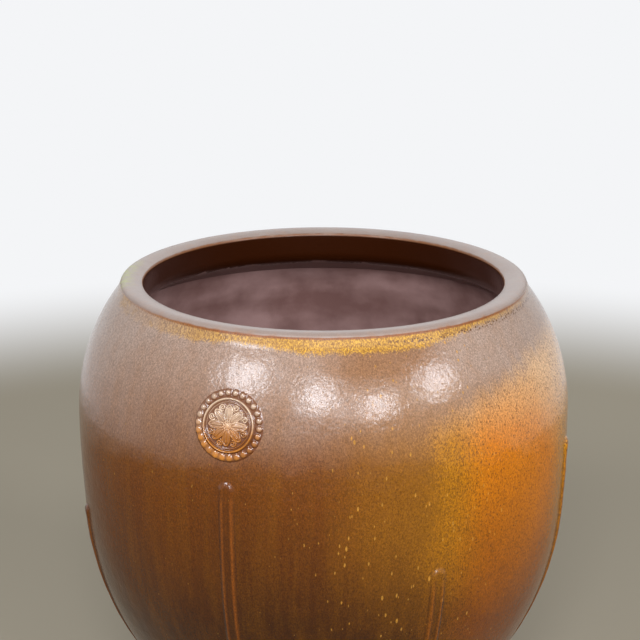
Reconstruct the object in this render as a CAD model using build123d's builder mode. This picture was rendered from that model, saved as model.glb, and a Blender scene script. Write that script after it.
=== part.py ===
from build123d import *
from math import pi
import os

os.makedirs("parts", exist_ok=True)

# A large wide-mouthed stoneware storage jar, in millimetres. Its base rests on the
# plane z = 0, its mouth opens along +Z and its front, with the medallion, faces -Y.

# The vessel
jar_height = 600
belly_radius = 300
mouth_inset = 82
base_inset = 150
wall = 18
base_thickness = 20
foot_rounding = 4

# The thick mouth coil, from the mouth's edge out to the crease of its lute line
lip_width = 28
lip_crest_width = 18
lip_crest_rise = 4
lip_rounding = 3
mouth_face_depth = 36
undercut_rounding = 18
toe_width = 45
toe_drop = 24

# The short steep neck under the crease
neck_flare = 5
neck_drop = 12

# The points where one arc of the outer face runs on into the next: heights as shares
# of the jar's height, and insets as shares of how far the face comes in from the
# belly to the neck, or to the base. Below the flank the face bends evenly from the
# flank's slope into the foot's, over this share of the jar's height on either side.
widest_height_share = 0.733
shoulder_height_share = 0.843
shoulder_inset_share = 0.19
flank_height_share = 0.538
flank_inset_share = 0.027
foot_bend_share = 0.16

# The bevelled seams where one coiled section was luted onto the one below
lower_seam_share = 0.317
upper_seam_share = 0.667
seam_tilt = 20

# The skin of slip that applied clay is stuck on with
slip = 0.1

# The applied vertical strips, with two ridges and a shallow valley between them. Each
# has its azimuth from the front and the share of the jar's height that its top reaches.
rib_width = 18
rib_relief = 4.5
rib_valley_width = 5
rib_valley_relief = 2.6
rib_ridge_width = 2.4
rib_shoulder_relief = 3.2
rib_foot_share = 0.117
front_rib_azimuth = -21
rib_tops = {
    "rib_left": (-76, 0.537),
    "rib_front_left": (front_rib_azimuth, 0.718),
    "rib_front_right": (26, 0.538),
    "rib_right": (78, 0.677),
    "rib_back_right": (147, 0.538),
    "rib_back_left": (213, 0.677),
}

# The moulded medallion above the high front rib, and its border of beads. Each ring has
# its inset from the disc's edge and its width, and the flower is sized by shares of the
# disc's radius.
medallion_height_share = 0.840
disc_radius = 32
disc_relief = 1.6
disc_dome_share = 0.9
ring_relief = 4
ring_slope = 75
rings = ((3.5, 5), (9, 3.4))
petal_count = 8
petal_circle_share = 0.345
petal_length_share = 0.39
petal_width_share = 0.21
petal_relief = 3
boss_share = 0.138
boss_relief = 4
bead_count = 26
bead_radius = 3.7
bead_sides = 10
bead_relief = 2.6
bead_slope = 35
bead_clearance = 0.3

# The outer face as one run of tangent arcs, with the radius along X and the height
# along Y: up from the belly to the crease, and down from the belly to the base
lip_height = jar_height - lip_crest_rise
mouth_radius = belly_radius - mouth_inset
crease_radius = mouth_radius + lip_width
neck_radius = crease_radius + neck_flare
neck_inset = belly_radius - neck_radius
base_radius = belly_radius - base_inset
crease = (crease_radius, lip_height)
neck = (neck_radius, lip_height - neck_drop)
shoulder = (belly_radius - shoulder_inset_share * neck_inset, shoulder_height_share * jar_height)
belly = (belly_radius, widest_height_share * jar_height)
flank = (belly_radius - flank_inset_share * base_inset, flank_height_share * jar_height)
foot_bend = foot_bend_share * jar_height
base_edge = (base_radius, 0)

with BuildLine() as outer_face:
    shoulder_arc = TangentArc(belly, shoulder, tangent=(0, 1))
    neck_arc = TangentArc(shoulder, neck, tangent=shoulder_arc % 1)
    Line(neck, crease)
    flank_arc = TangentArc(belly, flank, tangent=(0, -1))
    bend = flank_arc @ 1 + (flank_arc % 1) * foot_bend
    foot_top = bend + (Vector(*base_edge) - bend).normalized() * foot_bend
    TangentArc(flank, foot_top, tangent=flank_arc % 1)
    Line(foot_top, base_edge)

# The wall's whole cross-section, before the seams cut it into sections
with BuildSketch() as wall_section:
    with BuildLine():
        add(outer_face.line)
        offset(amount=wall, side=Side.RIGHT, mode=Mode.ADD)
    make_face()

# The mouth coil's cross-section: a straight mouth face, a crowned top that rolls down
# into the crease, and a toe that was smeared down the inside of the wall
mouth_corner = (mouth_radius, lip_height)
undercut = (mouth_radius, lip_height - mouth_face_depth)
toe = (mouth_radius + toe_width, lip_height - mouth_face_depth - toe_drop)
crest = (mouth_radius + lip_crest_width, jar_height)

with BuildSketch() as coil_section:
    with BuildLine():
        Polyline(crease, toe, undercut, mouth_corner)
        TangentArc(crest, mouth_corner, tangent=(-1, 0))
        TangentArc(crest, crease, tangent=(1, 0))
    make_face()
    fillet(coil_section.vertices().sort_by_distance(undercut)[0], radius=undercut_rounding)
    fillet(coil_section.vertices().sort_by_distance(mouth_corner)[0], radius=lip_rounding)

# The filled form inside the outer face, which everything applied to the wall sits on
with BuildPart() as filled_form:
    with BuildSketch(Plane.XZ):
        with BuildLine():
            add(outer_face.line)
            Polyline(crease, (0, lip_height), (0, 0), base_edge)
        make_face()
    revolve(axis=Axis.Z)


def seam(height_share):
    """Plane of a seam in the cross-section, rising outwards so that it bevels the wall"""
    edge = (belly_radius, height_share * jar_height)
    return Plane(origin=edge, z_dir=(0, 1)).rotated((0, 0, seam_tilt))


# Flat clay slab that the jar stands on, with a rounded bottom edge
with BuildPart() as base_slab:
    add(filled_form.part)
    split(bisect_by=Plane.XY.offset(base_thickness), keep=Keep.BOTTOM)
    fillet(base_slab.faces().sort_by(Axis.Z)[0].edges(), radius=foot_rounding)

# First coiled section, standing on the slab
with BuildPart() as lower_wall:
    with BuildSketch(Plane.XZ):
        add(wall_section.sketch)
        split(bisect_by=seam(lower_seam_share), keep=Keep.BOTTOM)
    revolve(axis=Axis.Z)
    split(bisect_by=Plane.XY.offset(base_thickness), keep=Keep.TOP)

# Second coiled section, the slow curve up to just under the widest place
with BuildPart() as belly_wall:
    with BuildSketch(Plane.XZ):
        add(wall_section.sketch)
        split(bisect_by=seam(lower_seam_share), keep=Keep.TOP)
        split(bisect_by=seam(upper_seam_share), keep=Keep.BOTTOM)
    revolve(axis=Axis.Z)

# Third coiled section, closing in over the widest place to the neck. Its top edge is
# bevelled on the inside, where the mouth coil is laid.
with BuildPart() as shoulder_wall:
    with BuildSketch(Plane.XZ):
        add(wall_section.sketch)
        split(bisect_by=seam(upper_seam_share), keep=Keep.TOP)
        add(coil_section.sketch, mode=Mode.SUBTRACT)
    revolve(axis=Axis.Z)

# Thick mouth coil
with BuildPart() as rim_coil:
    with BuildSketch(Plane.XZ):
        add(coil_section.sketch)
    revolve(axis=Axis.Z)

for name, part in (
    ("base_slab", base_slab),
    ("lower_wall", lower_wall),
    ("belly_wall", belly_wall),
    ("shoulder_wall", shoulder_wall),
    ("rim_coil", rim_coil),
):
    part.part.label = name
    export_step(part.part, f"parts/{name}.step")


def level(height_share):
    """Plane that cuts the outer face's line at a share of the jar's height"""
    return Plane(origin=(0, height_share * jar_height), z_dir=(0, 1))


# Half of a strip's cross-section, from its middle out, lying on its skin of slip
ridge_middle = (rib_width + rib_valley_width) / 4
ridge_top = ridge_middle + rib_ridge_width / 2
with BuildSketch() as half_rib:
    with BuildLine():
        Polyline(
            (0, slip),
            (0, rib_valley_relief),
            (rib_valley_width / 2, rib_shoulder_relief),
            (ridge_middle - rib_ridge_width / 2, rib_relief),
            (ridge_top, rib_relief),
            ((ridge_top + rib_width / 2) / 2, rib_shoulder_relief),
            (rib_width / 2, slip),
            close=True,
        )
    make_face()

# Each strip is built on the meridian along +X: it follows the arcs of the wall down and
# ends in a half turn of its own cross-section, so that its two ridges join in a
# horseshoe. Then it is turned to its azimuth.
sideways = Vector(0, 1, 0)
for name, (azimuth, top_share) in rib_tops.items():
    route = split(outer_face.line, bisect_by=level(top_share), keep=Keep.BOTTOM)
    route = split(route, bisect_by=level(rib_foot_share), keep=Keep.TOP)
    spans = (Plane.XZ.location * route).edges().sort_by(Axis.Z, reverse=True)

    with BuildPart() as rib:
        for span in spans:
            downhill = span if (span @ 0).Z > (span @ 1).Z else span.reversed()
            across = Plane(origin=downhill @ 0, x_dir=sideways, z_dir=downhill % 0)
            with BuildSketch(across):
                add(half_rib.sketch)
                mirror(about=Plane.YZ)
            if span.geom_type == GeomType.CIRCLE:
                turn = span.length / span.radius * 180 / pi
                revolve(axis=Axis(span.arc_center, sideways), revolution_arc=turn)
            else:
                extrude(amount=span.length)
            if span is spans[0]:
                with BuildSketch(across):
                    add(half_rib.sketch)
                revolve(axis=Axis(across.origin, across.y_dir), revolution_arc=180)
        foot = Plane(origin=downhill @ 1, x_dir=sideways, z_dir=downhill % 1)
        with BuildSketch(foot):
            add(half_rib.sketch)
        revolve(axis=Axis(foot.origin, foot.y_dir), revolution_arc=-180)

    strip = rib.part.rotate(Axis.Z, azimuth - 90)
    strip.label = name
    export_step(strip, f"parts/{name}.step")

# The medallion's own plane touches the wall at its centre, in line with the high strip
meridian = Plane.XZ.rotated((0, 0, front_rib_azimuth - 90))
above = Wire(split(outer_face.line, bisect_by=level(medallion_height_share), keep=Keep.TOP).edges())
above = meridian.location * above
if (above @ 0).Z > (above @ 1).Z:
    centre, uphill = above @ 1, -(above % 1)
else:
    centre, uphill = above @ 0, above % 0
along = -meridian.z_dir
sprig = Plane(origin=centre, x_dir=along, z_dir=along.cross(uphill))
dome_radius = disc_dome_share * belly_radius


def sag(reach):
    """How far the wall has fallen away from the medallion's plane at a distance"""
    return dome_radius - (dome_radius**2 - reach**2) ** 0.5


# Moulded disc: a domed field inside two raised rings, with a round flower in low relief
with BuildPart() as medallion_disc:
    with BuildSketch(Plane(sprig.origin, x_dir=sprig.x_dir, z_dir=-sprig.y_dir)):
        with BuildLine():
            edge_relief = disc_relief - sag(disc_radius)
            TangentArc((0, disc_relief), (disc_radius, edge_relief), tangent=(1, 0))
            Polyline((disc_radius, edge_relief), (disc_radius, -wall / 2), (0, -wall / 2), (0, disc_relief))
        make_face()
        for ring_inset, ring_width in rings:
            ring_radius = disc_radius - ring_inset
            with Locations((ring_radius, -sag(ring_radius))):
                Trapezoid(ring_width, ring_relief, ring_slope, align=(Align.CENTER, Align.MIN))
    revolve(axis=Axis(sprig.origin, sprig.z_dir))
    with BuildSketch(sprig):
        with PolarLocations(petal_circle_share * disc_radius, petal_count):
            Ellipse(petal_length_share * disc_radius / 2, petal_width_share * disc_radius / 2)
    extrude(amount=petal_relief)
    with BuildSketch(sprig):
        Circle(boss_share * disc_radius)
    extrude(amount=boss_relief)
    add(filled_form.part, mode=Mode.SUBTRACT)

medallion_disc.part.label = "medallion_disc"
export_step(medallion_disc.part, "parts/medallion_disc.step")

# Border of small beads, each pressed square onto the curved wall
bead_circle_radius = disc_radius + bead_clearance + bead_radius
seats = []
for spot in PolarLocations(bead_circle_radius, bead_count):
    level_spot = sprig.from_local_coords(spot.position)
    seat, outward = filled_form.part.find_intersection_points(Axis(level_spot, sprig.z_dir))[-1]
    seats.append(Plane(origin=seat, z_dir=outward).offset(slip))

with BuildPart() as medallion_beads:
    with BuildSketch(*seats):
        RegularPolygon(bead_radius, bead_sides)
    extrude(amount=bead_relief, taper=bead_slope)

medallion_beads.part.label = "medallion_beads"
export_step(medallion_beads.part, "parts/medallion_beads.step")
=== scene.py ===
from math import atan2, ceil, cos, exp, hypot, pi, radians, sin, sqrt, tan

import bmesh
import bpy
from mathutils import Matrix, Vector, kdtree, noise


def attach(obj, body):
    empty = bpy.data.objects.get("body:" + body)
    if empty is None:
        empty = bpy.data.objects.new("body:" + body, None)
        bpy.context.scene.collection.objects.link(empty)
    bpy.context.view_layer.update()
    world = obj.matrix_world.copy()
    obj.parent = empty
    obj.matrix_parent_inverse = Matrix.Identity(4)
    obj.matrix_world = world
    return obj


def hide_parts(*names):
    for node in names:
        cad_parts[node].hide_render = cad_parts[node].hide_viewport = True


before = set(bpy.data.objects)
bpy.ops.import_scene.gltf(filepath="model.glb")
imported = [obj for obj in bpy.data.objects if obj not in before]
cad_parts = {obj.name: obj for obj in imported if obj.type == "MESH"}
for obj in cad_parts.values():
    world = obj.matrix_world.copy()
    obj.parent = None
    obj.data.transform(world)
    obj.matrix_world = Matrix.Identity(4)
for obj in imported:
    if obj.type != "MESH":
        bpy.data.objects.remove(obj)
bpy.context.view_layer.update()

# The viewpoint of the photograph: a long lens, a little over two metres in front of the
# jar, looking down over the near side of the lip into the mouth. The foot is cut off.
camera_lens = 112.5
camera_sensor_width = 36
camera_place = (0, -2.3346, 1.2449)
camera_pitch_down = 16.732
camera_turn = 0.102

camera_data = bpy.data.cameras.new("photo_camera")
camera_data.lens = camera_lens
camera_data.sensor_width = camera_sensor_width
camera = bpy.data.objects.new("photo_camera", camera_data)
camera.location = camera_place
camera.rotation_euler = (radians(90 - camera_pitch_down), 0, radians(camera_turn))
bpy.context.scene.collection.objects.link(camera)
bpy.context.scene.camera = camera
bpy.context.scene.view_settings.view_transform = "Standard"

# The studio: a wide pale floor of matt painted board that runs out into a white
# surround, and a plain sky of soft light. Nothing in it belongs to the jar.
floor_radius = 30
floor_sides = 96
floor_colour, floor_cloud_colour = "#988E7A", "#9F9581"
floor_clouds_per_metre = 0.7
white_from, white_full = 1.4, 2.2
sky_colour = "#F4F5F7"
sky_shown_strength = 1.0
sky_light_strength = 0.30


def linear(hex_colour):
    """The linear RGBA of a colour written in sRGB"""
    parts = [int(hex_colour[i : i + 2], 16) / 255 for i in (1, 3, 5)]
    return [c / 12.92 if c <= 0.04045 else ((c + 0.055) / 1.055) ** 2.4 for c in parts] + [1]


def add_node(tree, kind, inputs=None, **settings):
    """Adds a shader node with its settings, and sets its inputs or links them. A colour is
    given in sRGB, and a node given as an input is linked by its first output in use."""
    made = tree.nodes.new("ShaderNode" + kind)
    for name, value in settings.items():
        setattr(made, name, value)
    for key, value in (inputs or {}).items():
        if isinstance(value, bpy.types.Node):
            value = [out for out in value.outputs if not out.is_unavailable][0]
        if isinstance(value, bpy.types.NodeSocket):
            tree.links.new(value, made.inputs[key])
        else:
            made.inputs[key].default_value = linear(value) if isinstance(value, str) else value
    return made


def combine(tree, operation, *values):
    """Node that combines two or three numbers"""
    return add_node(tree, "Math", dict(enumerate(values)), operation=operation)


def ramp(tree, value, low, high, at_low=0, at_high=1, kind="LINEAR"):
    """Node that goes from one number to another while a value goes from low to high"""
    inputs = {0: value, 1: low, 2: high, 3: at_low, 4: at_high}
    return add_node(tree, "MapRange", inputs, interpolation_type=kind)


def mix_colours(tree, share, first, second):
    """Node that goes from the first colour to the second by a share"""
    return add_node(tree, "Mix", {0: share, 6: first, 7: second}, data_type="RGBA")


def new_material(name):
    """An empty material, its node tree, and the output that its shader goes into"""
    made = bpy.data.materials.new(name)
    made.use_nodes = True
    made.node_tree.nodes.clear()
    return made, made.node_tree, made.node_tree.nodes.new("ShaderNodeOutputMaterial")


def met_by_eye(tree):
    """Node that is 1 for a ray from the eye, a reflection or a view through glass, and 0
    for the rays that only gather light"""
    path = add_node(tree, "LightPath").outputs
    seen = combine(tree, "MAXIMUM", path["Is Camera Ray"], path["Is Glossy Ray"])
    return combine(tree, "MAXIMUM", seen, path["Is Transmission Ray"])


def finish_mesh(bm, name, *materials):
    """Turns a bmesh into a smooth-shaded object with its materials"""
    for face in bm.faces:
        face.smooth = True
    mesh = bpy.data.meshes.new(name)
    bm.to_mesh(mesh)
    bm.free()
    for material in materials:
        mesh.materials.append(material)
    made = bpy.data.objects.new(name, mesh)
    bpy.context.scene.collection.objects.link(made)
    return made


# Matt painted board, rolled on: even, pale, only a breath of unevenness. Farther out the
# eye and every reflection meet plain white, while the board there lights the jar as ever.
painted_board, tree, output = new_material("painted_board")
spot = add_node(tree, "TexCoord").outputs["Object"]
cloud = add_node(tree, "TexNoise", {"Vector": spot, "Scale": floor_clouds_per_metre, "Detail": 3})
board_colour = mix_colours(tree, cloud, floor_colour, floor_cloud_colour)
board = add_node(tree, "BsdfPrincipled", {"Base Color": board_colour, "Roughness": 0.85})
away = add_node(tree, "VectorMath", {0: spot}, operation="LENGTH")
far = ramp(tree, away, white_from, white_full, kind="SMOOTHSTEP")
white_share = combine(tree, "MULTIPLY", far, met_by_eye(tree))
surround = add_node(tree, "Emission", {0: sky_colour, 1: sky_shown_strength})
floor_mix = add_node(tree, "MixShader", {0: white_share, 1: board, 2: surround})
tree.links.new(floor_mix.outputs[0], output.inputs[0])

bm = bmesh.new()
bmesh.ops.create_circle(bm, cap_ends=True, segments=floor_sides, radius=floor_radius)
floor = finish_mesh(bm, "studio_floor", painted_board)

world = bpy.data.worlds.new("soft_sky")
bpy.context.scene.world = world
world.use_nodes = True
tree = world.node_tree
tree.nodes.clear()
strength = ramp(tree, met_by_eye(tree), 0, 1, sky_light_strength, sky_shown_strength)
sky = add_node(tree, "Background", {"Color": sky_colour, "Strength": strength})
add_node(tree, "OutputWorld", {0: sky})

# Soft lamps, each a flat diffuser: azimuth, elevation, width, height and power. Four stand
# where their reflections lie on the shoulder as the soft blots of light do in the
# photograph, a low wide one joins them to a sheen, and a weak one lights the far side.
lamp_target = Vector((0, -0.2, 0.5))
lamp_distance = 2.6
lamp_colour = "#F2F7FF"
lamps = {
    "lamp_left": (-44, 36, 0.70, 0.80, 41),
    "lamp_front": (-2, 31, 0.50, 0.64, 31),
    "lamp_front_right": (27.5, 24, 0.44, 0.50, 22),
    "lamp_right": (61, 29, 0.58, 0.60, 28),
    "lamp_wide": (6, 20, 1.9, 0.50, 11),
    "lamp_back": (180, 25, 2.6, 1.6, 14),
}
for name, (azimuth, elevation, width, length, power) in lamps.items():
    lamp_data = bpy.data.lights.new(name, "AREA")
    lamp_data.shape = "RECTANGLE"
    lamp_data.size, lamp_data.size_y = width, length
    lamp_data.energy = power
    lamp_data.color = linear(lamp_colour)[:3]
    lamp = bpy.data.objects.new(name, lamp_data)
    a, e = radians(azimuth), radians(elevation)
    away = Vector((sin(a) * cos(e), -cos(a) * cos(e), sin(e)))
    lamp.location = lamp_target + away * lamp_distance
    lamp.rotation_euler = away.to_track_quat("Z", "Y").to_euler()
    lamp.visible_camera = False
    bpy.context.scene.collection.objects.link(lamp)

# Base slab: a flat round of stoneware clay that the jar stands on. Its foot was wiped
# clean of glaze before the firing, so the underside and its edge show bare clay.
base_radius = 0.150
base_thickness = 0.020
slab_rings = (0.05, 0.10)
spin_steps = 320
merge_distance = 1e-6

# The foot's rounded edge: its radius, three steps round it as shares of that radius, out
# and up, and the share at which it has reached the wall's face
foot_rounding = 0.004
foot_steps = ((-1.2, 0), (-0.55, 0.22), (0.15, 0.75))
foot_reached = 1.4

# Sizes of the outer face that every section of the wall follows: radius and height
belly = (0.300, 0.4398)
shoulder = (0.29069, 0.5058)
neck = (0.251, 0.584)
crease = (0.246, 0.596)
flank = (0.29595, 0.3228)
foot_bend = 0.096


def tangent_arc(start, lean, end):
    """Arc that leaves start leaning inwards from upright, and reaches end: its lower and
    upper height, centre and radius, and the lean that it arrives with"""
    inward, rise = start[0] - end[0], end[1] - start[1]
    turn = atan2(inward, abs(rise)) - lean
    radius = hypot(inward, rise) / (2 * sin(turn))
    side = 1 if rise > 0 else -1
    centre = (start[0] - radius * cos(lean), start[1] - side * radius * sin(lean))
    return (min(start[1], end[1]), max(start[1], end[1]), centre, radius), lean + 2 * turn


shoulder_arc, lean = tangent_arc(belly, 0, shoulder)
neck_arc, lean = tangent_arc(shoulder, lean, neck)
flank_arc, lean = tangent_arc(belly, 0, flank)
bend = Vector((flank[0] - foot_bend * sin(lean), flank[1] - foot_bend * cos(lean)))
foot_top = bend + (Vector((base_radius, 0)) - bend).normalized() * foot_bend
lower_arc, foot_lean = tangent_arc(flank, lean, foot_top)
wall_arcs = (shoulder_arc, neck_arc, flank_arc, lower_arc)


def outer_radius(height):
    """Radius of the jar's outer face at a height"""
    for low, high, (centre_radius, centre_height), radius in wall_arcs:
        if low <= height <= high:
            return centre_radius + sqrt(radius**2 - (height - centre_height) ** 2)
    if height < foot_top.y:
        return base_radius + height * tan(foot_lean)
    return neck[0] + (crease[0] - neck[0]) * (height - neck[1]) / (crease[1] - neck[1])


def run_line(bm, vert, *points):
    """Extends a chain by straight edges to points of the cross-section"""
    for radius, height in points:
        new = bm.verts.new((radius, 0, height))
        bm.edges.new((vert, new))
        vert = new
    return vert


def turn_round(bm, steps):
    """Spins a chain once round the upright axis, merges doubled points, and turns the
    faces outwards"""
    bmesh.ops.spin(
        bm, geom=bm.verts[:] + bm.edges[:], cent=(0, 0, 0), axis=(0, 0, 1), angle=2 * pi, steps=steps,
        use_merge=True,
    )
    bmesh.ops.remove_doubles(bm, verts=bm.verts, dist=merge_distance)
    bmesh.ops.recalc_face_normals(bm, faces=bm.faces)


# Bare stoneware clay, thrown and trimmed: buff-brown, gritty with grog of about 1.5 mm,
# so it looks dry and faintly speckled
clay_dark, clay_light, grog_brown = "#8A6547", "#A9825E", "#5B3F2B"
clay_clouds_per_metre, grogs_per_metre = 18, 650

bare_clay, tree, output = new_material("bare_stoneware_clay")
spot = add_node(tree, "TexCoord").outputs["Object"]
cloud = add_node(
    tree, "TexNoise", {"Vector": spot, "Scale": clay_clouds_per_metre, "Detail": 5, "Roughness": 0.6}
)
grog = add_node(tree, "TexNoise", {"Vector": spot, "Scale": grogs_per_metre, "Detail": 2})
clay_tone = mix_colours(tree, cloud, clay_dark, clay_light)
grit = ramp(tree, grog, 0.6, 0.72, 0, 0.5)
clay_colour = mix_colours(tree, grit, clay_tone, grog_brown)
clay_bump = add_node(tree, "Bump", {"Height": grog, "Distance": 0.0004, "Strength": 0.6})
clay = add_node(tree, "BsdfPrincipled", {"Base Color": clay_colour, "Roughness": 0.82, "Normal": clay_bump})
tree.links.new(clay.outputs[0], output.inputs[0])

bm = bmesh.new()
pole = bm.verts.new((0, 0, 0))
edge_heights = (foot_rounding * foot_reached, base_thickness / 2, base_thickness)
run_line(
    bm,
    pole,
    *[(ring, 0) for ring in slab_rings],
    *[(base_radius + foot_rounding * out, foot_rounding * up) for out, up in foot_steps],
    *[(outer_radius(height), height) for height in edge_heights],
    *[(ring, base_thickness) for ring in reversed(slab_rings)],
    (0, base_thickness),
)
turn_round(bm, spin_steps)
base = finish_mesh(bm, "fired_base_slab", bare_clay)
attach(base, "root")
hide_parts("base_slab")

# The wall: three coiled sections of stoneware, luted one on the other, beaten smooth and
# thrown true, then covered outside with one coat of running iron glaze. Inside they have
# only a thin wash. Each section keeps its bevelled seams, hidden inside the wall.
wall = 0.018
row = 0.004
face_depth = 0.001
sharp_edge = radians(35)

# What the beater and the wheel left on the outer face: slow swellings and quick dimples,
# with their cells round the jar and up it, and throwing rings too shallow to see
dent_depth = 0.0009
slow_cells, quick_cells, quick_start = (1.7, 9), (6, 24), 7
even_share, slow_share, quick_share = 0.75, 0.55, 0.3
ring_depth = 0.00005
ring_pitch = 0.021
ring_sway = 2

# Where the bevelled seams come out at the outer and the inner face, the toe that the
# mouth coil sits on, and the rows at the foot and the neck: radius and height
lower_seam_outside, lower_seam_inside = (0.25506, 0.17384), (0.22968, 0.16460)
upper_seam_outside, upper_seam_inside = (0.29953, 0.40003), (0.28131, 0.39341)
toe = (0.263, 0.536)
toe_inside = (0.2587, 0.53831)
flare_millimetres = range(26, 145, 6)
neck_rows = ((0.2489, 0.589), (0.2477, 0.592), (0.24683, 0.594), (0.24642, 0.595))

# Iron stoneware glaze, brushed on thick and fired hard: chestnut brown, darker towards the foot
# partly as painted shade, with a painted mauve-grey sheen on the shoulder, and ochre with dark
# iron specks where the flame thinned it. The eye gets a satin skin of fine orange peel with soft
# reflections.
foot_brown_and_shade, chestnut_brown, warm_brown, sheen_mauve = "#3A1A01", "#5F2F03", "#75461A", "#988172"
run_brown, golden_brown, thin_brown = "#7E4C06", "#93600F", "#7E5430"
ochre_low_and_shade, ochre_high, ochre_sheen = "#6E3C01", "#B67608", "#C69D72"
orange_low_and_shade, orange_high = "#6E3601", "#BC6A01"
speck_brown, fleck_ochre = "#5E3408", "#C48A30"
mustard_dark, mustard_light, bubble_brown, crease_brown = "#8C5A08", "#B58624", "#5A3510", "#7A4314"
thin_orange, pooled_brown = "#9C5210", "#3A1C05"

# Its patterns. The cells of clouds are 125 mm, of patches 24 mm, of ripples 18 mm, of burst
# bubbles 3 mm and of sparkling grains 1.1 mm. Runs are 19 mm wide and 280 mm long.
clouds_per_metre, patches_per_metre, ripples_per_metre = 8, 42, 55
bubbles_per_metre, grains_per_metre = 330, 900
runs_per_metre = (52, 52, 3.6)
peel_pitch = 0.0050
dust_pitch = 0.0017
speck_pitch = 0.0036
fleck_pitch = 0.0052
dust_stretch, fleck_stretch = (1, 1, 0.6), (1, 1, 0.40)

# Heights over which one tone gives way to the next, before the clouds shift them and the
# painted sheen on the shoulder hangs lower away from the front, as a reflection does
cloud_shift, sheen_lift = 0.10, -0.095
foot_from, foot_full = 0.212, 0.382
warm_from, warm_full = 0.383, 0.518
sheen_from, sheen_full = 0.418, 0.553
golden_from, golden_full, golden_fades, golden_faded = 0.21, 0.35, 0.442, 0.542
bright_from, bright_full = 0.243, 0.448
heart_fades, heart_faded = 0.447, 0.527
ochre_sheen_from, ochre_sheen_full = 0.443, 0.553
satin_from, satin_full = 0.40, 0.54
ochre_draws_back_from, ochre_drawn_back = 0.48, 0.60
thin_from, thin_full = 0.536, 0.562

# The band under the crease: its lower edge at the sides and in front, how far the patches
# on the left hang under it, and the rows of burst bubbles and of the crease
band_side, band_front, band_soft, band_solid = 0.5895, 0.5800, 0.0085, 0.0130
band_ragged_by = 0.010
patch_hang = 0.0085
bubbles_from, bubbles_full, bubbles_fade, bubbles_end = 0.5845, 0.5865, 0.5895, 0.5912
crease_from, crease_full = 0.5930, 0.5950


def facing(tree, around, azimuth):
    """Node with the cosine of the angle round the jar between a point and an azimuth"""
    a = radians(azimuth)
    return add_node(tree, "VectorMath", {0: around, 1: (sin(a), -cos(a), 0)}, operation="DOT_PRODUCT")


iron_glaze, tree, output = new_material("iron_stoneware_glaze")
spot = add_node(tree, "TexCoord").outputs["Object"]
height = add_node(tree, "SeparateXYZ", {0: spot}).outputs[2]
flat = add_node(tree, "VectorMath", {0: spot, 1: (1, 1, 0)}, operation="MULTIPLY")
around = add_node(tree, "VectorMath", {0: flat}, operation="NORMALIZE")
toward_ochre, toward_heart = facing(tree, around, 80), facing(tree, around, 50)
toward_band, toward_flecks, toward_patches = (facing(tree, around, azimuth) for azimuth in (10, 20, -52))
toward_sheen, toward_thin = facing(tree, around, -8), facing(tree, around, 16)
cloud = add_node(
    tree, "TexNoise", {"Vector": spot, "Scale": clouds_per_metre, "Detail": 5, "Roughness": 0.6}
)
run_map = add_node(tree, "Mapping", {0: spot, 3: runs_per_metre})
runs = add_node(tree, "TexNoise", {"Vector": run_map, "Scale": 1, "Detail": 4, "Roughness": 0.65})
dust_map = add_node(tree, "Mapping", {0: spot, 3: dust_stretch})
dust = add_node(
    tree, "TexNoise", {"Vector": dust_map, "Scale": 1 / dust_pitch, "Detail": 3, "Roughness": 0.6}
)
grain = add_node(tree, "TexNoise", {"Vector": spot, "Scale": 1 / peel_pitch, "Detail": 3})
sparkle = add_node(tree, "TexNoise", {"Vector": spot, "Scale": grains_per_metre, "Detail": 1})

# The ochre side: its border is a dust of specks, and it draws back above the belly
border = ramp(tree, height, ochre_draws_back_from, ochre_drawn_back, 0.60, 1.26, kind="SMOOTHSTEP")
clouded = combine(tree, "MULTIPLY_ADD", cloud, 0.22, toward_ochre)
streaked = combine(tree, "MULTIPLY_ADD", runs, 0.16, clouded)
dusted = combine(tree, "MULTIPLY_ADD", dust, 0.24, streaked)
over = combine(tree, "SUBTRACT", dusted, border)
ochre_side = ramp(tree, over, 0.19, 0.47, kind="SMOOTHSTEP")

# Brown side: darker at the foot, partly painted shade, chestnut in the middle, painted sheen on the shoulder
side_drop = combine(tree, "MULTIPLY_ADD", toward_sheen, sheen_lift, height)
level = combine(tree, "MULTIPLY_ADD", cloud, cloud_shift, side_drop)
# The darkening towards the foot is partly painted shade of the underside
foot_share = ramp(tree, level, foot_from, foot_full)
warm_share = ramp(tree, level, warm_from, warm_full)
# The mauve-grey shoulder is a painted sheen, standing in for the reflected pale surroundings
sheen_share = ramp(tree, level, sheen_from, sheen_full)
run_share = ramp(tree, runs, 0.42, 0.70, 0, 0.22)
golden_side = ramp(tree, toward_heart, 0.62, 0.95, 0, 0.62)
golden_low = ramp(tree, level, golden_from, golden_full)
golden_high = ramp(tree, level, golden_fades, golden_faded, 1, 0.1)
golden_rows = combine(tree, "MULTIPLY", golden_low, golden_high)
golden_share = combine(tree, "MULTIPLY", golden_side, golden_rows)

# In front under the crease the brown glaze ran thin and stayed warm
thin_height = ramp(tree, height, thin_from, thin_full, kind="SMOOTHSTEP")
thin_side = ramp(tree, toward_thin, 0.945, 0.992, 0, 0.8)
thin_share = combine(tree, "MULTIPLY", thin_height, thin_side)
brown_layers = (
    (foot_share, chestnut_brown),
    (warm_share, warm_brown),
    (sheen_share, sheen_mauve),
    (run_share, run_brown),
    (golden_share, golden_brown),
    (thin_share, thin_brown),
)
brown = foot_brown_and_shade
for share, colour in brown_layers:
    brown = mix_colours(tree, share, brown, colour)

# Ochre side: orange at its heart, yellower towards its border, darker low down as partly painted
# shade, and paler above the belly as a painted sheen
heart = ramp(tree, toward_heart, 0.92, 0.99, kind="SMOOTHSTEP")
heart_low = ramp(tree, level, heart_fades, heart_faded, 1, 0.3)
heart_mask = combine(tree, "MULTIPLY", heart, heart_low)
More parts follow.
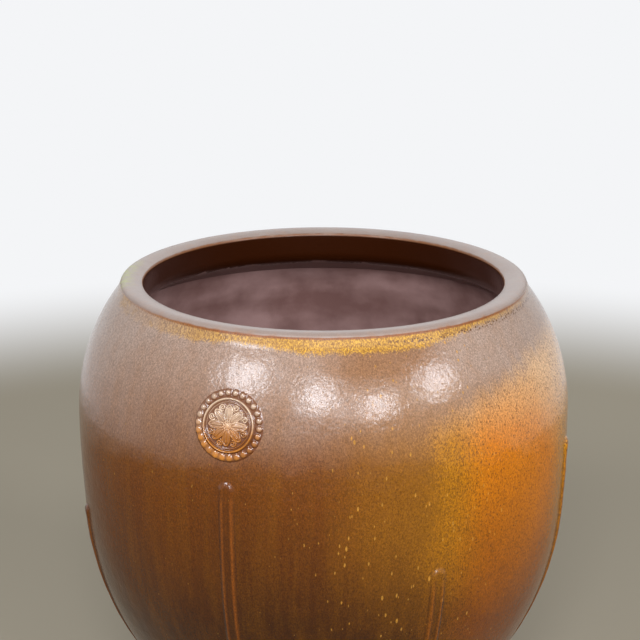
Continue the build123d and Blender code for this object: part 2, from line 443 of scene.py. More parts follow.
# Darker low down, brighter up the belly: partly the glaze, partly painted shade
bright_share = ramp(tree, level, bright_from, bright_full)
yellow = mix_colours(tree, bright_share, ochre_low_and_shade, ochre_high)
orange = mix_colours(tree, bright_share, orange_low_and_shade, orange_high)
ochre = mix_colours(tree, heart_mask, yellow, orange)
# The pale ochre above the belly is a painted sheen, a reflected halo of light
ochre_sheen_share = ramp(tree, level, ochre_sheen_from, ochre_sheen_full)
ochre_with_sheen = mix_colours(tree, ochre_sheen_share, ochre, ochre_sheen)

# Iron specks of 1 to 3 mm on the ochre, thick at its border and sparse at its heart
specks = add_node(tree, "TexVoronoi", {"Vector": spot, "Scale": 1 / speck_pitch})
speck_reach = ramp(tree, heart, 0, 1, 0.52, 0.43)
speck_size = ramp(tree, specks.outputs["Color"], 0.15, 1, 0, speck_reach)
speck_dot = combine(tree, "SUBTRACT", speck_size, specks)
speck_soft = ramp(tree, speck_dot, -0.03, 0.10, 0, 0.8)
dark_dust = ramp(tree, dust, 0.47, 0.36, 0, 0.75)
border_dust = ramp(tree, heart, 0, 1, 1, 0.35)
dust_mask = combine(tree, "MULTIPLY", dark_dust, border_dust)
speck_mask = combine(tree, "MAXIMUM", speck_soft, dust_mask)
specked = mix_colours(tree, speck_mask, ochre_with_sheen, speck_brown)

# Flecks of pale ochre on the brown side that ran a little way down, most of them between
# the front and the ochre
fleck_map = add_node(tree, "Mapping", {0: spot, 3: fleck_stretch})
flecks = add_node(tree, "TexVoronoi", {"Vector": fleck_map, "Scale": 1 / fleck_pitch})
fleck_here = ramp(tree, toward_flecks, 0.84, 0.98, 0.15, 0.34)
fleck_size = ramp(tree, flecks.outputs["Color"], 0.42, 1, 0, fleck_here)
fleck_ragged = combine(tree, "MULTIPLY_ADD", dust, 0.35, flecks)
fleck_dot = combine(tree, "SUBTRACT", fleck_size, fleck_ragged)
fleck_mask = ramp(tree, fleck_dot, -0.19, -0.09, 0, 0.62)

# Under the crease the glaze ran thin: a mustard band in front with burst bubbles, which
# thins to a dotted line on the right and to sparse pale patches on the left
patch = add_node(tree, "TexNoise", {"Vector": spot, "Scale": patches_per_metre, "Detail": 4})
band_edge = ramp(tree, toward_band, 0.84, 0.965, band_side, band_front)
patch_drop = ramp(tree, toward_patches, 0.80, 0.96, 0, patch_hang)
band_low = combine(tree, "SUBTRACT", band_edge, patch_drop)
band_rough = combine(tree, "MULTIPLY_ADD", dust, band_ragged_by, height)
band_ragged = combine(tree, "MULTIPLY_ADD", runs, band_ragged_by, band_rough)
band_rise = combine(tree, "SUBTRACT", band_ragged, band_low)
band = ramp(tree, band_rise, band_soft, band_solid)
band_ahead = ramp(tree, toward_band, 0.45, 0.95, 0.12, 1)
patch_level = ramp(tree, patch, 0.50, 0.66, 0.08, 0.6)
patch_here = combine(tree, "MULTIPLY", patch_level, patch_drop)
patched = combine(tree, "MULTIPLY", patch_here, 1 / patch_hang)
band_here = combine(tree, "MAXIMUM", patched, band_ahead)
band_mask = combine(tree, "MULTIPLY", band, band_here)
band_grain = ramp(tree, dust, 0.36, 0.64)
mustard = mix_colours(tree, band_grain, mustard_dark, mustard_light)
bubbles = add_node(tree, "TexVoronoi", {"Vector": spot, "Scale": bubbles_per_metre})
bubble_dot = ramp(tree, bubbles, 0.50, 0.34)
bubble_line = ramp(tree, height, bubbles_from, bubbles_full)
bubble_end = ramp(tree, height, bubbles_end, bubbles_fade)
bubble_row = combine(tree, "MULTIPLY", bubble_line, bubble_end)
bubble_side = ramp(tree, toward_ochre, 0.30, 0.50, 0.0, 0.95)
bubble_here = combine(tree, "MULTIPLY", bubble_row, bubble_side)
bubble_mask = combine(tree, "MULTIPLY", bubble_dot, bubble_here)
# A thin orange-brown line along the crease, strongest in front
crease_line = ramp(tree, height, crease_from, crease_full, kind="SMOOTHSTEP")
crease_ahead = ramp(tree, toward_band, 0.2, 0.8, 0.1, 1)
crease_mask = combine(tree, "MULTIPLY", crease_line, crease_ahead)

# On edges of applied clay the glaze pulls thin and burns orange, and beside them it stands
# thick and dark. Pieces that have such edges carry them as thin_glaze and pooled_glaze.
thin_edge = add_node(tree, "Attribute", attribute_name="thin_glaze").outputs["Fac"]
pooled_edge = add_node(tree, "Attribute", attribute_name="pooled_glaze").outputs["Fac"]
glaze_layers = (
    (ochre_side, specked),
    (fleck_mask, fleck_ochre),
    (band_mask, mustard),
    (bubble_mask, bubble_brown),
    (crease_mask, crease_brown),
    (thin_edge, thin_orange),
    (pooled_edge, pooled_brown),
)
body = brown
for share, colour in glaze_layers:
    body = mix_colours(tree, share, body, colour)
fine = ramp(tree, sparkle, 0.3, 0.7, 0.80, 1.20)
coarse = ramp(tree, dust, 0.3, 0.7, 0.67, 1.33)
both = combine(tree, "MULTIPLY", fine, coarse)
grainy = add_node(tree, "VectorMath", {0: body, 1: both}, operation="MULTIPLY")

# Glossy below, satin on the shoulder, dull on the band. The relief is orange peel, dust,
# ripples and slow waves.
satin = ramp(tree, level, satin_from, satin_full, 0.15, 0.185)
gloss = combine(tree, "MULTIPLY_ADD", band_mask, 0.22, satin)
ripple = add_node(tree, "TexNoise", {"Vector": spot, "Scale": ripples_per_metre, "Detail": 2})
skin = add_node(tree, "Bump", {"Height": grain, "Distance": 0.0005, "Strength": 0.6})
for relief, depth, strength in ((dust, 0.00022, 0.6), (ripple, 0.0009, 0.6), (cloud, 0.004, 0.3)):
    skin = add_node(
        tree, "Bump", {"Height": relief, "Distance": depth, "Strength": strength, "Normal": skin}
    )
glaze = add_node(
    tree, "BsdfPrincipled", {"Base Color": grainy, "Roughness": gloss, "IOR": 1.4, "Normal": skin}
)
tree.links.new(glaze.outputs[0], output.inputs[0])

# Thin iron wash on the inside, swabbed round and fired dry: mauve-brown and nearly matt,
# cloudy where it was swabbed twice, in swabs of 45 mm by 140 mm
wash_dark, wash_light = "#6F4F49", "#997872"
wash_clouds_per_metre, wash_grains_per_metre = 15, 300
swabs_per_metre = (7, 7, 22)

iron_wash, tree, output = new_material("thin_iron_wash")
spot = add_node(tree, "TexCoord").outputs["Object"]
cloud = add_node(
    tree, "TexNoise", {"Vector": spot, "Scale": wash_clouds_per_metre, "Detail": 4, "Roughness": 0.55}
)
swab_map = add_node(tree, "Mapping", {0: spot, 3: swabs_per_metre})
swabs = add_node(tree, "TexNoise", {"Vector": swab_map, "Scale": 1, "Detail": 3})
wash_mix = combine(tree, "MULTIPLY", cloud, swabs)
wash_range = ramp(tree, wash_mix, 0.16, 0.36)
wash_colour = mix_colours(tree, wash_range, wash_dark, wash_light)
wash_grain = add_node(tree, "TexNoise", {"Vector": spot, "Scale": wash_grains_per_metre, "Detail": 2})
wash_bump = add_node(tree, "Bump", {"Height": wash_grain, "Distance": 0.0005, "Strength": 0.4})
wash = add_node(tree, "BsdfPrincipled", {"Base Color": wash_colour, "Roughness": 0.5, "Normal": wash_bump})
tree.links.new(wash.outputs[0], output.inputs[0])


def swelling(azimuth, height, cells, start=0):
    """Smooth noise over the wall, with its cells round the jar and up it"""
    around, up = cells
    return noise.noise(Vector((around * cos(azimuth), around * sin(azimuth), up * height + start)))


def dent(point):
    """How far the hand-beaten wall lies inside its true curve at a point"""
    azimuth = atan2(point[0], -point[1])
    slow = swelling(azimuth, point[2], slow_cells)
    quick = swelling(azimuth, point[2], quick_cells, quick_start)
    ring = sin(2 * pi * point[2] / ring_pitch + ring_sway * slow)
    return dent_depth * (even_share + slow_share * slow + quick_share * quick) + ring_depth * (1 + ring)


def spin_chain(bm, vert, centre, radius, end, row_length):
    """Extends a chain along an arc of the cross-section to a point on it"""
    start = Vector((vert.co.x - centre[0], vert.co.z - centre[1]))
    finish = Vector((end[0] - centre[0], end[1] - centre[1]))
    angle = start.angle_signed(finish)
    steps = max(1, ceil(abs(angle) * radius / row_length))
    spun = bmesh.ops.spin(
        bm, geom=[vert], cent=(centre[0], 0, centre[1]), axis=(0, 1, 0), angle=angle, steps=steps
    )
    return [v for v in spun["geom_last"] if isinstance(v, bmesh.types.BMVert)][0]


def run_arc(bm, vert, arc, offset, height):
    """Extends a chain along one arc of the wall, offset inwards, to a height"""
    centre, radius = arc[2], arc[3] - offset
    end = (centre[0] + sqrt(radius**2 - (height - centre[1]) ** 2), height)
    return spin_chain(bm, vert, centre, radius, end, row)


def joint_height(arc, offset, height):
    """Height of an arc's end on the face that lies inside the outer one by an offset"""
    centre_height, radius = arc[2][1], arc[3]
    return centre_height + (height - centre_height) * (radius - offset) / radius


def crisp_edges(bm):
    """Leaves the edges that turn sharply crisp under the smooth shading"""
    for edge in bm.edges:
        edge.smooth = edge.calc_face_angle(0) < sharp_edge


def wall_section(name, node, start, outside, inside):
    """One closed section of the wall, spun from its cross-section and dented by hand"""
    bm = bmesh.new()
    vert = first = bm.verts.new((start[0], 0, start[1]))
    for step in outside + inside:
        vert = run_line(bm, vert, *step[1:]) if step[0] == "line" else run_arc(bm, vert, *step[1:])
    bm.edges.new((vert, first))
    turn_round(bm, spin_steps)
    for face in bm.faces:
        middle = face.calc_center_median()
        face.material_index = int(face.normal.dot(Vector((middle.x, middle.y, 0))) < 0)
    crisp_edges(bm)
    for vert in bm.verts:
        reach = hypot(vert.co.x, vert.co.y)
        if reach > outer_radius(vert.co.z) - face_depth:
            vert.co.xy *= 1 - dent(vert.co) / reach
    section = finish_mesh(bm, name, iron_glaze, iron_wash)
    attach(section, "root")
    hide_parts(node)
    return section


flare_rows = [(outer_radius(millimetres / 1000), millimetres / 1000) for millimetres in flare_millimetres]
wall_section(
    "glazed_lower_wall",
    "lower_wall",
    (outer_radius(base_thickness), base_thickness),
    (("line", *flare_rows, (foot_top.x, foot_top.y)), ("arc", lower_arc, 0, lower_seam_outside[1])),
    (
        ("line", lower_seam_inside),
        ("arc", lower_arc, wall, joint_height(lower_arc, wall, foot_top.y)),
        ("line", (outer_radius(base_thickness) - wall / cos(foot_lean), base_thickness)),
    ),
)
wall_section(
    "glazed_belly_wall",
    "belly_wall",
    lower_seam_outside,
    (("arc", lower_arc, 0, flank[1]), ("arc", flank_arc, 0, upper_seam_outside[1])),
    (
        ("line", upper_seam_inside),
        ("arc", flank_arc, wall, joint_height(flank_arc, wall, flank[1])),
        ("arc", lower_arc, wall, lower_seam_inside[1]),
    ),
)
wall_section(
    "glazed_shoulder_wall",
    "shoulder_wall",
    upper_seam_outside,
    (
        ("arc", flank_arc, 0, belly[1]),
        ("arc", shoulder_arc, 0, shoulder[1]),
        ("arc", neck_arc, 0, neck[1]),
        ("line", *neck_rows, crease),
    ),
    (
        ("line", toe, toe_inside),
        ("arc", neck_arc, wall, joint_height(neck_arc, wall, shoulder[1])),
        ("arc", shoulder_arc, wall, joint_height(shoulder_arc, wall, belly[1])),
        ("arc", flank_arc, wall, upper_seam_inside[1]),
    ),
)

# Mouth coil: a thick roll of clay laid inside the bevelled neck edge and squared off with
# a wet cloth. Its flat top was wiped, so only a skin of glaze is left on it.
mouth_corner = (0.218, 0.596)
undercut = (0.218, 0.560)
crest = (0.236, 0.59995)
mouth_rounding, mouth_rounding_rows = 0.003, 6
undercut_rounding, undercut_rounding_rows = 0.0108, 10
corner_distance = 1e-5
rim_row = 0.0012
face_row_shares = (0.8, 0.6, 0.45)
under_row_shares = (0.4, 0.55, 0.7, 0.85)

# Wiped glaze on the rim: satin grey-beige, orange-brown in a thin line where it pulled
# back from the inner edge, a thin orange-brown line at the crease, greenish where copper fume
# caught it on the left. Its clouds are 45 mm, its streaks 11 mm, its peel 4 mm and its grain 1.3 mm.
rim_dark, rim_light, rim_streak = "#826C60", "#9A897E", "#997863"
fume_green, outer_line_brown, inner_line_brown = "#98965A", "#7A4314", "#7D4A20"
mouth_dark, mouth_wash = "#2C1003", "#84645D"
rim_clouds_per_metre, streaks_per_metre = 22, 90
rim_peels_per_metre, rim_grains_per_metre = 260, 800
drips_per_metre = (26, 26, 12)
green_azimuth, green_side, green_side_full = -92, 0.955, 0.995
green_from, green_full = 0.226, 0.240
line_stray = 0.0016
outer_line_from, outer_line_full = 0.2448, 0.2464
inner_line_from, inner_line_full = 0.2206, 0.2192
dark_from, dark_full = 0.5955, 0.5925
drip_length, wash_from, wash_full = 0.022, 0.5690, 0.5630

rim_glaze, tree, output = new_material("wiped_rim_glaze")
spot = add_node(tree, "TexCoord").outputs["Object"]
height = add_node(tree, "SeparateXYZ", {0: spot}).outputs[2]
flat = add_node(tree, "VectorMath", {0: spot, 1: (1, 1, 0)}, operation="MULTIPLY")
reach = add_node(tree, "VectorMath", {0: flat}, operation="LENGTH")
around = add_node(tree, "VectorMath", {0: flat}, operation="NORMALIZE")
cloud = add_node(
    tree, "TexNoise", {"Vector": spot, "Scale": rim_clouds_per_metre, "Detail": 4, "Roughness": 0.6}
)
streak = add_node(tree, "TexNoise", {"Vector": spot, "Scale": streaks_per_metre, "Detail": 3})
sparkle = add_node(tree, "TexNoise", {"Vector": spot, "Scale": rim_grains_per_metre, "Detail": 1})
rim_tone = mix_colours(tree, cloud, rim_dark, rim_light)
wiped = ramp(tree, streak, 0.5, 0.75, 0, 0.5)
green = ramp(tree, facing(tree, around, green_azimuth), green_side, green_side_full, kind="SMOOTHSTEP")
green_out = ramp(tree, reach, green_from, green_full)
green_mask = combine(tree, "MULTIPLY", green, green_out)
green_cloud = ramp(tree, streak, 0.38, 0.58, 0.15, 1.0)
green_patch = combine(tree, "MULTIPLY", green_mask, green_cloud)
line_place = combine(tree, "MULTIPLY_ADD", streak, line_stray, reach)
# The thin orange-brown line at the crease
outer_line = ramp(tree, line_place, outer_line_from, outer_line_full, kind="SMOOTHSTEP")
outer_ahead = ramp(tree, facing(tree, around, 0), 0.2, 0.8, 0.1, 1)
outer_edge = combine(tree, "MULTIPLY", outer_line, outer_ahead)
inner_edge = ramp(tree, line_place, inner_line_from, inner_line_full, kind="SMOOTHSTEP")

# The mouth's inner face: a dark glossy band that ran down to the undercut with a soft
# mottled edge, and under it the thin wash of the inside
down = ramp(tree, height, dark_from, dark_full, kind="SMOOTHSTEP")
drip_map = add_node(tree, "Mapping", {0: spot, 3: drips_per_metre})
drips = add_node(tree, "TexNoise", {"Vector": drip_map, "Scale": 1, "Detail": 5, "Roughness": 0.65})
drip_height = combine(tree, "MULTIPLY_ADD", drips, drip_length, height)
below = ramp(tree, drip_height, wash_from, wash_full, kind="SMOOTHSTEP")
rim_layers = (
    (wiped, rim_streak),
    (green_patch, fume_green),
    (outer_edge, outer_line_brown),
    (inner_edge, inner_line_brown),
    (down, mouth_dark),
    (below, mouth_wash),
)
for share, colour in rim_layers:
    rim_tone = mix_colours(tree, share, rim_tone, colour)
fine = ramp(tree, sparkle, 0.3, 0.7, 0.92, 1.08)
rim_grain = add_node(tree, "VectorMath", {0: rim_tone, 1: fine}, operation="MULTIPLY")
glassy = combine(tree, "MULTIPLY_ADD", down, -0.22, 0.40)
rim_gloss = combine(tree, "MULTIPLY_ADD", below, 0.36, glassy)
peel = add_node(tree, "TexNoise", {"Vector": spot, "Scale": rim_peels_per_metre, "Detail": 3})
rim_bump = add_node(tree, "Bump", {"Height": peel, "Distance": 0.0003, "Strength": 0.4})
rim_wave = add_node(
    tree, "Bump", {"Height": cloud, "Distance": 0.002, "Strength": 0.3, "Normal": rim_bump}
)
rim = add_node(
    tree,
    "BsdfPrincipled",
    {"Base Color": rim_grain, "Roughness": rim_gloss, "IOR": 1.44, "Normal": rim_wave},
)
tree.links.new(rim.outputs[0], output.inputs[0])


def crown(top, end):
    """Centre and radius of the arc that lies level at the top and falls to an end"""
    across, fall = abs(end[0] - top[0]), top[1] - end[1]
    radius = (across**2 + fall**2) / (2 * fall)
    return (top[0], top[1] - radius), radius


bm = bmesh.new()
first = bm.verts.new((crease[0], 0, crease[1]))
vert = spin_chain(bm, first, *crown(crest, crease), crest, rim_row)
vert = spin_chain(bm, vert, *crown(crest, mouth_corner), mouth_corner, rim_row)
face_height = mouth_corner[1] - undercut[1]
face_rows = [(undercut[0], undercut[1] + share * face_height) for share in face_row_shares]
under_rows = [tuple(Vector(undercut).lerp(Vector(toe), share)) for share in under_row_shares]
vert = run_line(bm, vert, *face_rows, undercut, *under_rows, toe)
bm.edges.new((vert, first))
turn_round(bm, spin_steps)
rounded_corners = (
    (mouth_corner, mouth_rounding, mouth_rounding_rows),
    (undercut, undercut_rounding, undercut_rounding_rows),
)
for corner, rounding, segments in rounded_corners:
    on_corner = {
        v for v in bm.verts if hypot(hypot(v.co.x, v.co.y) - corner[0], v.co.z - corner[1]) < corner_distance
    }
    ring = [edge for edge in bm.edges if on_corner.issuperset(edge.verts)]
    bmesh.ops.bevel(
        bm, geom=ring, offset=rounding, segments=segments, profile=0.5, affect="EDGES", material=-1
    )
crisp_edges(bm)
for vert in bm.verts:
    reach = hypot(vert.co.x, vert.co.y)
    if reach > crease[0] - face_depth and vert.co.z > crease[1] - face_depth:
        vert.co.xy *= 1 - dent(vert.co) / reach
coil = finish_mesh(bm, "glazed_mouth_coil", rim_glaze)
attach(coil, "root")
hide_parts("rim_coil")

# Ribs: strips of clay pressed on the wall from the foot up, each with two ridges left by
# a grooved tool and a rounded top. The running glaze filled their edges softly.
rib_azimuths_and_tops = {
    "rib_left": (-76, 0.3222),
    "rib_front_left": (-21, 0.4308),
    "rib_front_right": (26, 0.3228),
    "rib_right": (78, 0.4062),
    "rib_back_right": (147, 0.3228),
    "rib_back_left": (213, 0.4062),
}
rib_foot = 0.0702
rib_half_width = 0.009
rib_rounded_from = 0.0035
rib_ridge_place, rib_ridge_width = 0.0058, 0.0016
rib_ridge_height = 0.0030
rib_valley_height = 0.0021
rib_swell, rib_swells_per_metre = 0.12, 40
rib_end_rise, rib_end_length = 0.0005, 0.007
rib_skirt = 0.004
rib_sunk = 0.0006
rib_row = 0.0022
rib_columns = 30
clay_back = 0.0012
slope_step = 0.0005

# Glaze on a rib: thin on its two ridges, pooled along its outside and in its valley, each
# with its strength, its place and its width, and none of it at the rounded top
thin_strength, thin_width = 0.34, 0.0018
outside_strength, outside_place, outside_width = 0.55, rib_half_width + 0.0006, 0.0014
valley_strength, valley_place, valley_width = 0.35, 0.0028, 0.0012
glaze_fade_from, glaze_fade_full = -0.004, 0.024


def lean_at(height):
    """Angle by which the outer face leans inwards from upright, going up"""
    return atan2(outer_radius(height - slope_step) - outer_radius(height + slope_step), 2 * slope_step)


def on_wall(azimuth, height, relief):
    """Point that stands over the dented wall by its relief"""
    lean = lean_at(height)
    reach = outer_radius(height) + relief * cos(lean)
    point = Vector((reach * sin(azimuth), -reach * cos(azimuth), height + relief * sin(lean)))
    point.xy *= 1 - dent(point) / reach
    return point


def soft_step(value, low, high):
    """Smooth rise from 0 at low to 1 at high"""
    share = min(1, max(0, (value - low) / (high - low)))
    return share * share * (3 - 2 * share)


def soft_line(distance, place, width):
    """Rounded line, 1 at its place and falling off over its width"""
    return exp(-(((distance - place) / width) ** 2))


def rib_relief(distance, along, top):
    """Height of a strip's surface at a distance from its middle line, thicker at its top"""
    body = 1 - soft_step(distance, rib_rounded_from, rib_half_width + rib_skirt)
    ridge = soft_line(distance, rib_ridge_place, rib_ridge_width) * (rib_ridge_height - rib_valley_height)
    wave = 1 + rib_swell * noise.noise(Vector((0, 3, rib_swells_per_metre * along)))
    end = rib_end_rise * soft_line(along, top, rib_end_length)
    return body * (rib_valley_height * wave + end) + ridge * wave - (1 - body) * rib_sunk


for name, (azimuth, top) in rib_azimuths_and_tops.items():
    middle = radians(azimuth)
    reach = rib_half_width + rib_skirt
    high, low = top + reach, rib_foot - reach * cos(foot_lean)
    rows = ceil((high - low) / rib_row)
    bm = bmesh.new()
    bmesh.ops.create_grid(bm, x_segments=rib_columns, y_segments=rows, size=1)
    thin_layer = bm.verts.layers.float.new("thin_glaze")
    pooled_layer = bm.verts.layers.float.new("pooled_glaze")
    for vert in bm.verts:
        across, height = vert.co.x * reach, low + (vert.co.y + 1) / 2 * (high - low)
        beyond = max(height - top, (rib_foot - height) / cos(foot_lean), 0)
        distance = hypot(across, beyond)
        faded = soft_step(top - height, glaze_fade_from, glaze_fade_full)
        outside = outside_strength * soft_line(distance, outside_place, outside_width)
        valley = valley_strength * soft_line(distance, valley_place, valley_width)
        vert[thin_layer] = faded * thin_strength * soft_line(distance, rib_ridge_place, thin_width)
        vert[pooled_layer] = faded * (outside + valley)
        turn = across / outer_radius(height)
        vert.co = on_wall(middle + turn, height, rib_relief(distance, height, top))
    bmesh.ops.recalc_face_normals(bm, faces=bm.faces)
    if bm.faces[:][0].normal.dot(Vector((sin(middle), -cos(middle), 0))) < 0:
        bmesh.ops.reverse_faces(bm, faces=bm.faces)
    bmesh.ops.solidify(bm, geom=bm.faces[:], thickness=clay_back)
    rib = finish_mesh(bm, "glazed_" + name, iron_glaze)
    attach(rib, "root")
    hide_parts(name)

# Medallion disc: a sprig pressed in a carved mould and luted on the shoulder over the high
# rib. Two raised rings go round a domed field with a round flower and small curls, a
# common pattern, kept plain here. The glaze lies thick in its hollows.
medallion_azimuth = radians(-21)
medallion_height = 0.5040
disc_radius = 0.0320
disc_field, disc_dome = 0.0011, 0.0006
disc_falls_before, disc_falls_beyond = 0.0008, 0.0006
disc_sunk = 0.0005
disc_highest = 0.0050
disc_row = 0.00045
disc_steps = 240
sheet_margin = 0.0008

# The two rings (radius, half width and rise), and the flower: its petals with an outline
# and a vein, its boss, and the curls between the petals
ring_shapes = ((0.0291, 0.0019, 0.0024), (0.0256, 0.0011, 0.0010))
petal_count = 8
petal_middle, petal_half_length, petal_half_width = 0.0130, 0.0091, 0.0042
petal_rise, petal_flat, petal_edge = 0.0013, 0.6, 1.1
petal_outline_points = 60
vein_points, vein_start, vein_step = 16, -0.7, 1 / 12
boss_radius, boss_rise = 0.0034, 0.0022
line_rise, line_half_width = 0.0024, 0.0012
curl_middle, curl_radius, curl_turns, curl_tightening = 0.0207, 0.0040, 1.5, 0.8
curl_points = 50

# Pooled amber glaze: the same iron glaze where it lies thick and glassy over the sprig,
# orange-brown in the hollows and paler where it drew back from the raised lines. Its
# clouds are 17 mm and its grain 1.4 mm.
# On the upper half the paler crests are a painted highlight and the greyer hollows a painted sheen
hollow_low, hollow_sheen = "#5E2D03", "#6A3E20"
crest_low, crest_highlight = "#B87322", "#D2B598"
amber_clouds_per_metre, amber_grains_per_metre = 60, 700
highlight_from, highlight_full = 0.490, 0.517

pooled_glaze, tree, output = new_material("pooled_amber_glaze")
spot = add_node(tree, "TexCoord").outputs["Object"]
height = add_node(tree, "SeparateXYZ", {0: spot}).outputs[2]
relief = add_node(tree, "Attribute", attribute_name="relief").outputs["Fac"]
cloud = add_node(tree, "TexNoise", {"Vector": spot, "Scale": amber_clouds_per_metre, "Detail": 4})
sparkle = add_node(tree, "TexNoise", {"Vector": spot, "Scale": amber_grains_per_metre, "Detail": 2})
# The upper half's paler, greyer tones are painted highlight and sheen
upper = ramp(tree, height, highlight_from, highlight_full, kind="SMOOTHSTEP")
hollow = mix_colours(tree, upper, hollow_low, hollow_sheen)
crests = mix_colours(tree, upper, crest_low, crest_highlight)
raised = ramp(tree, relief, 0.24, 0.76, kind="SMOOTHSTEP")
clouded = ramp(tree, cloud, 0.35, 0.65, 0.55, 1)
drawn_share = combine(tree, "MULTIPLY", raised, clouded)
drawn = mix_colours(tree, drawn_share, hollow, crests)
fine = ramp(tree, sparkle, 0.3, 0.7, 0.9, 1.1)
pooled_grain = add_node(tree, "VectorMath", {0: drawn, 1: fine}, operation="MULTIPLY")
pooled_bump = add_node(tree, "Bump", {"Height": sparkle, "Distance": 0.0002, "Strength": 0.4})
pooled = add_node(
    tree,
    "BsdfPrincipled",
    {"Base Color": pooled_grain, "Roughness": 0.12, "IOR": 1.6, "Normal": pooled_bump},
)
tree.links.new(pooled.outputs[0], output.inputs[0])

medallion_lean = lean_at(medallion_height)
medallion_side = Vector((cos(medallion_azimuth), sin(medallion_azimuth), 0))
medallion_out = Vector(
    (
        sin(medallion_azimuth) * cos(medallion_lean),
        -cos(medallion_azimuth) * cos(medallion_lean),
        sin(medallion_lean),
    )
)
medallion_up = medallion_out.cross(medallion_side)
medallion_centre = Vector(
    (
        outer_radius(medallion_height) * sin(medallion_azimuth),
        -outer_radius(medallion_height) * cos(medallion_azimuth),
        medallion_height,
    )
)


def press_on(place, relief):
    """Point over the wall that a point of the sprig's plane comes to rest at"""
    point = medallion_centre + medallion_side * place.x + medallion_up * place.y
    for attempt in range(5):
        point -= medallion_out * (hypot(point.x, point.y) - outer_radius(point.z)) * cos(medallion_lean)
    return on_wall(atan2(point.x, -point.y), point.z, relief)


def bump(distance, half_width):
    """Round ridge, 1 on its line and 0 at its half width"""
    share = min(1, distance / half_width)
    return (1 - share * share) ** 2


def spun_sheet(bm, inner, outer, row_length, steps):
    """Flat round sheet with even rows, spun from one radius"""
    rows = ceil((outer - inner) / row_length)
    vert = bm.verts.new((inner, 0, 0))
    run_line(bm, vert, *[(inner + (outer - inner) * (n + 1) / rows, 0) for n in range(rows)])
    turn_round(bm, steps)


def press_sheet(bm, relief_at, highest):
    """Lays a flat sheet on the wall with its relief, and gives it a back"""
    layer = bm.verts.layers.float.new("relief")
    for vert in bm.verts:
        relief = relief_at(vert.co)
        vert[layer] = min(1, max(0, relief / highest))
        vert.co = press_on(vert.co, relief)
    bm.normal_update()
    if sum(face.normal.dot(medallion_out) for face in bm.faces) < 0:
        bmesh.ops.reverse_faces(bm, faces=bm.faces[:])
    bmesh.ops.solidify(bm, geom=bm.faces[:], thickness=clay_back)


motif_lines = []
for petal in range(petal_count):
    turn = Matrix.Rotation(2 * pi * petal / petal_count, 3, "Z")
    for n in range(petal_outline_points):
        a = 2 * pi * n / petal_outline_points
        outline_point = Vector((petal_middle + petal_half_length * cos(a), petal_half_width * sin(a), 0))
        motif_lines.append(turn @ outline_point)
    for n in range(vein_points):
        vein_place = petal_middle + petal_half_length * (vein_start + n * vein_step)
        motif_lines.append(turn @ Vector((vein_place, 0, 0)))
    between = Matrix.Rotation(2 * pi * (petal + 0.5) / petal_count, 3, "Z")
    for n in range(curl_points):
        share = n / (curl_points - 1)
        a, r = 2 * pi * curl_turns * share, curl_radius * (1 - curl_tightening * share)
        motif_lines.append(between @ Vector((curl_middle - r * cos(a), r * sin(a), 0)))
motif = kdtree.KDTree(len(motif_lines))
for index, point in enumerate(motif_lines):
    motif.insert(point, index)
motif.balance()


def disc_relief(place):
    """Height of the disc's surface over the wall"""
    radius, angle = hypot(place.x, place.y), atan2(place.y, place.x)
    edge = 1 - soft_step(radius, disc_radius - disc_falls_before, disc_radius + disc_falls_beyond)
    relief = disc_field + (1 - (radius / disc_radius) ** 2) * disc_dome
    for ring_radius, half_width, rise in ring_shapes:
        relief += rise * bump(abs(radius - ring_radius), half_width)
    if radius < ring_shapes[0][0] - ring_shapes[0][1]:
        nearest = motif.find(place)[2]
        relief += line_rise * bump(nearest, line_half_width)
        petal_angle = (angle + pi / petal_count) % (2 * pi / petal_count) - pi / petal_count
        along = radius * cos(petal_angle) - petal_middle
        across = radius * sin(petal_angle)
        inside = hypot(along / petal_half_length, across / petal_half_width)
        relief += petal_rise * (1 - soft_step(inside, petal_flat, petal_edge))
        relief += boss_rise * sqrt(max(0, 1 - (radius / boss_radius) ** 2))
    return relief * edge - disc_sunk * (1 - edge)


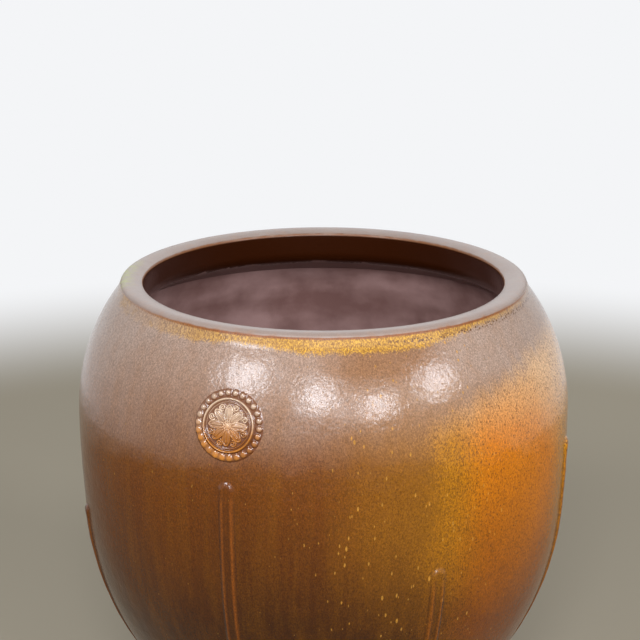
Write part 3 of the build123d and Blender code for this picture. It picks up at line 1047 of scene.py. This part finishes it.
bm = bmesh.new()
spun_sheet(bm, 0, disc_radius + sheet_margin, disc_row, disc_steps)
press_sheet(bm, disc_relief, disc_highest)
disc = finish_mesh(bm, "glazed_medallion", pooled_glaze)
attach(disc, "root")
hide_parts("medallion_disc")

# Border of beads: small balls of clay pressed on round the disc with a fingertip. The
# glaze ran round them and pooled under the lower ones, so that they half drown in it.
bead_count = 26
bead_circle = 0.0360
bead_radius = 0.0040
bead_rise = 0.0024
bead_stray, bead_variation = 0.0005, 0.12
beads_highest = 0.0043
bead_row = 0.00042
bead_steps = 520
border_inner, border_outer = disc_radius - 0.0006, 0.0419
border_falls_from, border_falls_to = 0.0405, 0.0417

# The pool of glaze between them: its height all round, what it gains towards its low side,
# and its edge, which reaches farther out on that side
pool_rise, pool_extra = 0.0004, 0.0017
pool_side, pool_spread = -2.2, 0.7
pool_edge, pool_falls_before, pool_falls_beyond = 0.0400, 0.002, 0.0008


def bead_relief(place):
    """Height of the beads and of the glaze between them over the wall"""
    radius, angle = hypot(place.x, place.y), atan2(place.y, place.x)
    low_side = max(0, cos(angle - pool_side)) ** pool_spread
    pool_end = pool_edge + pool_falls_beyond * (1 + low_side)
    pooled_share = 1 - soft_step(radius, pool_edge - pool_falls_before, pool_end)
    pool = (pool_rise + pool_extra * low_side) * pooled_share
    step = 2 * pi / bead_count
    index = round(angle / step)
    circle = bead_circle + bead_stray * noise.noise(Vector((7.3 * index, 1.9, 0)))
    centre = Vector((cos(index * step), sin(index * step))) * circle
    size = bead_radius * (1 + bead_variation * noise.noise(Vector((0.4, 5.1 * index, 2))))
    distance = (place.xy - centre).length / size
    bead = bead_rise * sqrt(max(0, 1 - distance**2))
    outside = soft_step(radius, border_falls_from, border_falls_to)
    return hypot(pool, bead) * (1 - outside) - disc_sunk * outside


bm = bmesh.new()
spun_sheet(bm, border_inner, border_outer, bead_row, bead_steps)
press_sheet(bm, bead_relief, beads_highest)
beads = finish_mesh(bm, "glazed_beads", pooled_glaze)
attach(beads, "root")
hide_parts("medallion_beads")
